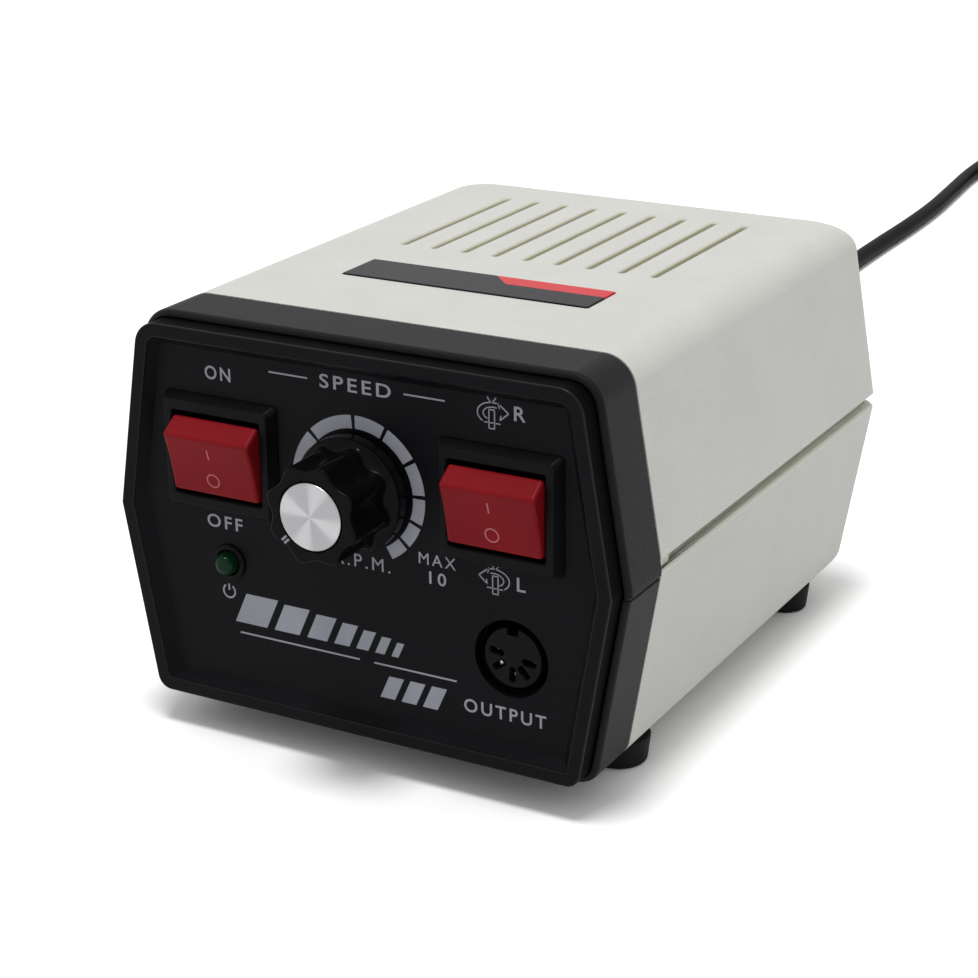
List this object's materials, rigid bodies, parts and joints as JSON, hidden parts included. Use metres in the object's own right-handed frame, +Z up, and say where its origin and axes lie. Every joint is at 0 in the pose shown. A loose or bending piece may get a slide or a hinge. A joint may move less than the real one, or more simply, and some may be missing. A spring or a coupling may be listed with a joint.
{
  "type": "micromotor polisher control box",
  "caption": "Low six-sided bench control box with rocker switches, a fluted speed knob, pilot light, round output socket, top vents, rubber feet and a coiled mains cord.",
  "frame": {"origin": "centre of the box's footprint on the surface its feet stand on", "axes": "front towards -Y, +X to the right seen from the front, +Z up"},
  "size_m": [0.1628, 0.703, 0.0948],
  "materials": {
    "case_plastic": "fine grain",
    "collar_plastic": "fine grain",
    "panel_plastic": "satin",
    "plate_dark": "satin",
    "black_plastic": "satin",
    "rocker_red": "satin",
    "rubber": "matte",
    "zinc_steel": "zinc plated",
    "lamination": "varnished",
    "brass": "plain",
    "aluminium": "brushed",
    "green_lens": "tinted",
    "winding_tape": "taped winding",
    "nylon": "natural",
    "board_green": "varnished",
    "can_sleeve": "sleeved",
    "fuse_glass": "clear",
    "cord_pvc": "satin"
  },
  "bodies": {
    "box": {"top_cover": "case_plastic", "base_shell": "case_plastic", "bezel_upper": "collar_plastic", "bezel_lower": "collar_plastic", "front_panel": "panel_plastic", "top_plate": "plate_dark", "left_switch_housing": "black_plastic", "right_switch_housing": "black_plastic", "led_holder": "black_plastic", "socket_housing": "black_plastic", "socket_insert": "black_plastic", "fuse_holder": "black_plastic", "fuse_nut": "black_plastic", "pedal_jack": "black_plastic", "strain_relief": "black_plastic", "power_transistor": "black_plastic", "bridge_rectifier": "black_plastic", "front_left_foot": "rubber", "front_right_foot": "rubber", "rear_left_foot": "rubber", "rear_right_foot": "rubber", "cord_tie": "rubber", "front_left_case_screw": "zinc_steel", "front_right_case_screw": "zinc_steel", "rear_left_case_screw": "zinc_steel", "rear_right_case_screw": "zinc_steel", "lower_left_panel_screw": "zinc_steel", "lower_right_panel_screw": "zinc_steel", "upper_left_panel_screw": "zinc_steel", "upper_right_panel_screw": "zinc_steel", "left_strap_screw": "zinc_steel", "right_strap_screw": "zinc_steel", "pot_nut": "zinc_steel", "pedal_jack_nut": "zinc_steel", "transformer_strap": "zinc_steel", "transformer_core": "lamination", "pot_body": "lamination", "pot_terminals": "brass", "left_switch_base": "brass", "right_switch_base": "brass", "socket_contacts": "brass", "left_plug_pin": "brass", "right_plug_pin": "brass", "heat_sink": "aluminium", "led_lens": "green_lens", "transformer_winding": "winding_tape", "transformer_bobbin": "nylon", "circuit_board": "board_green", "smoothing_capacitor": "can_sleeve", "fuse_link": "fuse_glass", "mains_cord": "cord_pvc", "cord_coil": "cord_pvc", "plug_body": "cord_pvc"},
    "knob": {"speed_knob": "black_plastic", "knob_cap": "aluminium", "knob_set_screw": "zinc_steel", "pot_shaft": "zinc_steel"},
    "left_switch_key": {"left_rocker": "rocker_red"},
    "right_switch_key": {"right_rocker": "rocker_red"},
    "fuse_carrier": {"fuse_cap": "black_plastic"}
  },
  "joints": [
    {"name": "knob_turn", "type": "hinge", "parent": "box", "child": "knob", "pos_m": [0, -0.077, 0.0631], "axis": [0, 1, 0], "range_deg": [0, 280]},
    {"name": "left_rocker_tilt", "type": "hinge", "parent": "box", "child": "left_switch_key", "pos_m": [-0.0336, -0.0654, 0.0651], "axis": [-1, 0, 0], "range_deg": [0, 28]},
    {"name": "right_rocker_tilt", "type": "hinge", "parent": "box", "child": "right_switch_key", "pos_m": [0.0336, -0.0654, 0.0651], "axis": [-1, 0, 0], "range_deg": [0, 28]},
    {"name": "fuse_cap_turn", "type": "hinge", "parent": "box", "child": "fuse_carrier", "pos_m": [0.027, 0.081, 0.0325], "axis": [0, 1, 0], "range_deg": [0, 45]}
  ]
}
